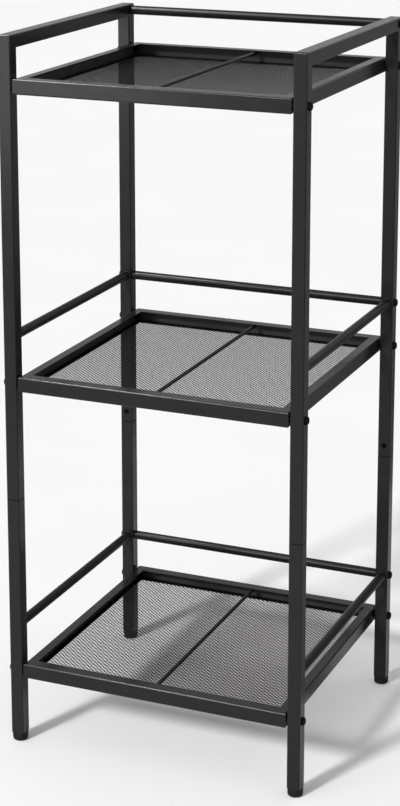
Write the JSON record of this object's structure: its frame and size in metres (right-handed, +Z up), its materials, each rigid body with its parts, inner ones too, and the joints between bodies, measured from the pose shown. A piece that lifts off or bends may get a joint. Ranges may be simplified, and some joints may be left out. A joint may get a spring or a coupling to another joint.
{
  "type": "freestanding storage rack",
  "caption": "Tall narrow rack of black coated steel: square posts in two storeys, recessed mesh trays, round side and back rails, side-frame top rails and plastic feet, bolted together.",
  "frame": {"origin": "on the floor, under the middle of the rack", "axes": "+X to the right and +Y to the back as seen from the open front, +Z up"},
  "size_m": [0.4036, 0.357, 0.92],
  "materials": {
    "frame_coat": "satin black powder coat on square tube",
    "rail_coat": "satin black powder coat on round bar and tube",
    "tray_coat": "satin black powder coat on folded sheet",
    "mesh_coat": "satin black powder coat on expanded mesh",
    "screw_black": "black finish, slight sheen",
    "foot_plastic": "matt black"
  },
  "bodies": {
    "root": {"back_rod_bottom": "rail_coat", "back_rod_middle": "rail_coat", "back_rod_top": "rail_coat", "foot_left_back": "foot_plastic", "foot_left_front": "foot_plastic", "foot_right_back": "foot_plastic", "foot_right_front": "foot_plastic", "lock_screw_left": "screw_black", "lock_screw_right": "screw_black", "lower_post_left_back": "frame_coat", "lower_post_left_front": "frame_coat", "lower_post_right_back": "frame_coat", "lower_post_right_front": "frame_coat", "mesh_panel_bottom": "mesh_coat", "mesh_panel_middle": "mesh_coat", "mesh_panel_top": "mesh_coat", "rod_screw_bottom_left": "screw_black", "rod_screw_bottom_right": "screw_black", "rod_screw_middle_left": "screw_black", "rod_screw_middle_right": "screw_black", "rod_screw_top_left": "screw_black", "rod_screw_top_right": "screw_black", "side_rail_bottom_left": "rail_coat", "side_rail_bottom_right": "rail_coat", "side_rail_middle_left": "rail_coat", "side_rail_middle_right": "rail_coat", "tie_rod_bottom": "rail_coat", "tie_rod_middle": "rail_coat", "tie_rod_top": "rail_coat", "top_rail_left": "frame_coat", "top_rail_right": "frame_coat", "tray_bottom_back_channel": "tray_coat", "tray_bottom_front_channel": "tray_coat", "tray_bottom_left_channel": "tray_coat", "tray_bottom_right_channel": "tray_coat", "tray_middle_back_channel": "tray_coat", "tray_middle_front_channel": "tray_coat", "tray_middle_left_channel": "tray_coat", "tray_middle_right_channel": "tray_coat", "tray_screw_bottom_left_back": "screw_black", "tray_screw_bottom_left_front": "screw_black", "tray_screw_bottom_right_back": "screw_black", "tray_screw_bottom_right_front": "screw_black", "tray_screw_middle_left_back": "screw_black", "tray_screw_middle_left_front": "screw_black", "tray_screw_middle_right_back": "screw_black", "tray_screw_middle_right_front": "screw_black", "tray_screw_top_left_back": "screw_black", "tray_screw_top_left_front": "screw_black", "tray_screw_top_right_back": "screw_black", "tray_screw_top_right_front": "screw_black", "tray_top_back_channel": "tray_coat", "tray_top_front_channel": "tray_coat", "tray_top_left_channel": "tray_coat", "tray_top_right_channel": "tray_coat", "upper_post_left_back": "frame_coat", "upper_post_left_front": "frame_coat", "upper_post_right_back": "frame_coat", "upper_post_right_front": "frame_coat"}
  },
  "joints": []
}
